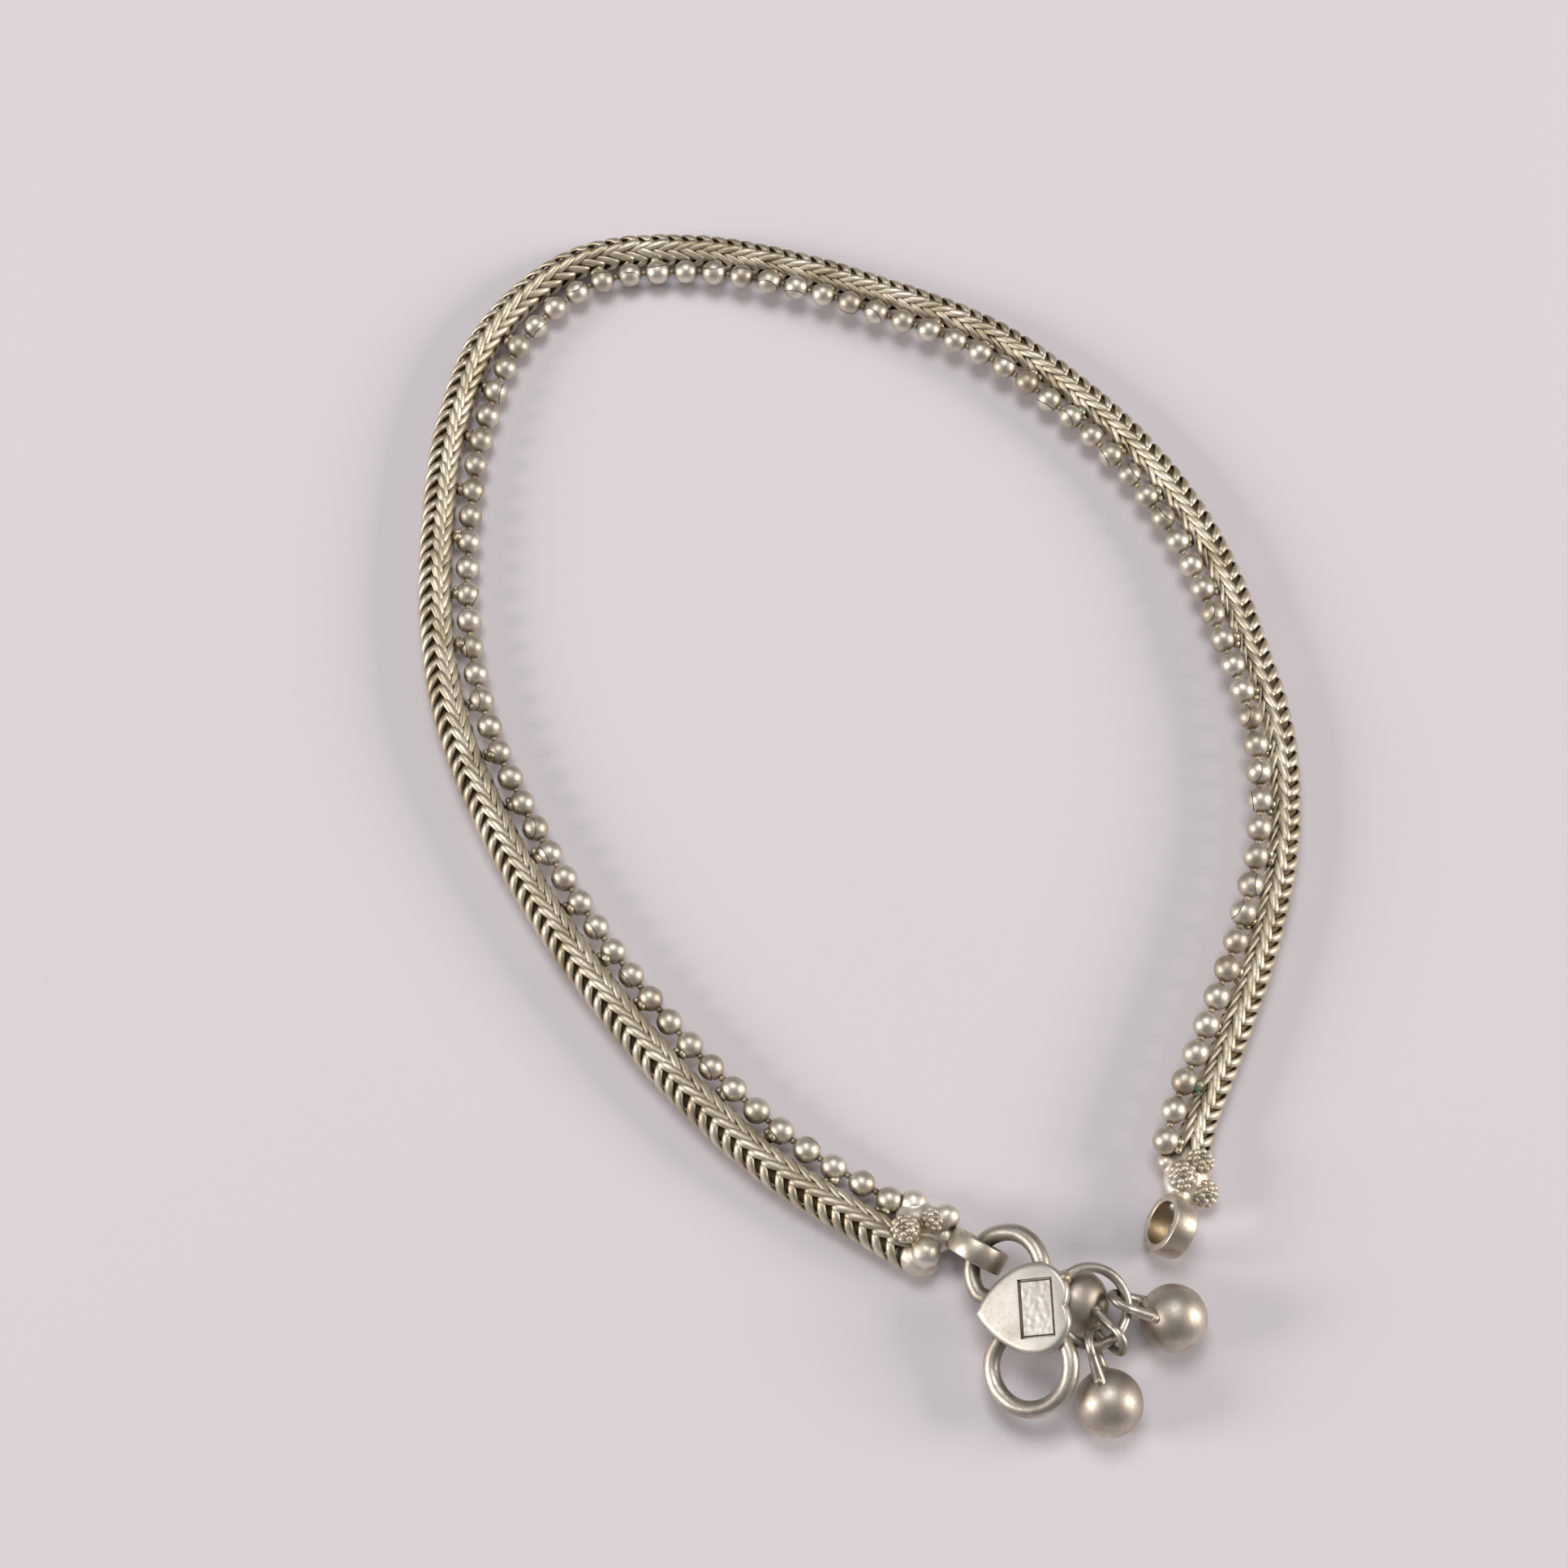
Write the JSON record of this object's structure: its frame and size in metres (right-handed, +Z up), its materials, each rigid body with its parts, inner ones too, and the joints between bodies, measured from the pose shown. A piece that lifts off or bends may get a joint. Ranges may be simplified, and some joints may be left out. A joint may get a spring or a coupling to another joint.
{
  "type": "anklet",
  "caption": "Aged silver anklet lying open: a foxtail chain edged with hollow beads, granulated end caps with eyes, and an S hook with a heart plate and small slit bells.",
  "frame": {"origin": "on the table, under the middle of the anklet's bounding box", "axes": "+Z up from the table, +Y away from the hook across the loop, +X to the right as the picture shows it"},
  "size_m": [0.0807, 0.1167, 0.0075],
  "materials": {
    "foxtail_chain": "aged silver wire, worn bright on the crowns with brown tarnish between the links",
    "bead_string": "aged silver sheet, satin, with grey-brown tarnish at seams and joints",
    "end_caps": "cast aged silver, worn bright on the granules, brown in the recesses",
    "hook_and_plate": "aged silver, smooth satin with fine scratches",
    "bells": "aged silver sheet, satin with grey tarnish"
  },
  "bodies": {
    "root": {"foxtail_chain": "foxtail_chain", "bead_string": "bead_string", "end_cap_hook_side": "end_caps", "end_cap_free": "end_caps", "s_hook": "hook_and_plate", "bell_under_plate": "bells", "bell_far": "bells", "bell_near": "bells"}
  },
  "joints": []
}
